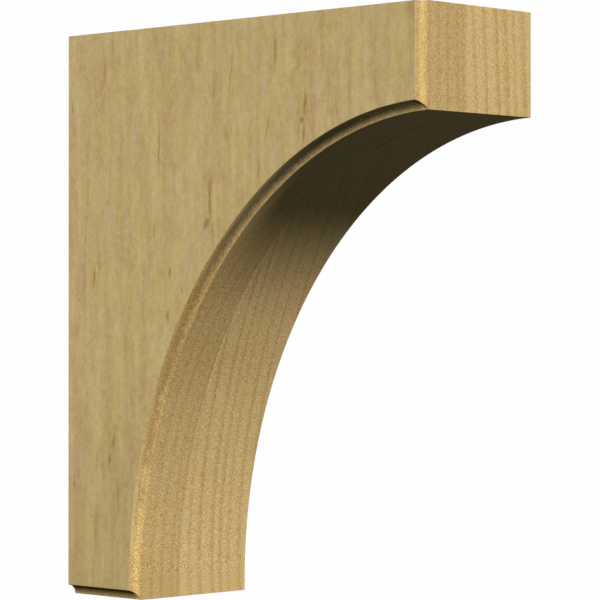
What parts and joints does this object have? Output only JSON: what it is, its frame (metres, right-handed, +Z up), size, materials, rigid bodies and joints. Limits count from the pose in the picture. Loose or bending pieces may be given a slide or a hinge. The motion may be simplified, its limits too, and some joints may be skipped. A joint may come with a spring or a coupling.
{
  "type": "corbel bracket",
  "caption": "Solid wooden corbel bracket with a square nose, deep oval hollow, narrow foot and a small cove along its exposed side edges; bears flat on a wall and carries a shelf or beam.",
  "frame": {"origin": "middle of the flat back face, which bears on the wall", "axes": "+Y out of the back face into the wall, so the nose points along -Y; +Z up along the wall; +X across the width"},
  "size_m": [0.102, 0.302, 0.356],
  "materials": {
    "wood": "sanded, unfinished pale hardwood with brown flecks"
  },
  "bodies": {
    "root": {"corbel": "wood"}
  },
  "joints": []
}
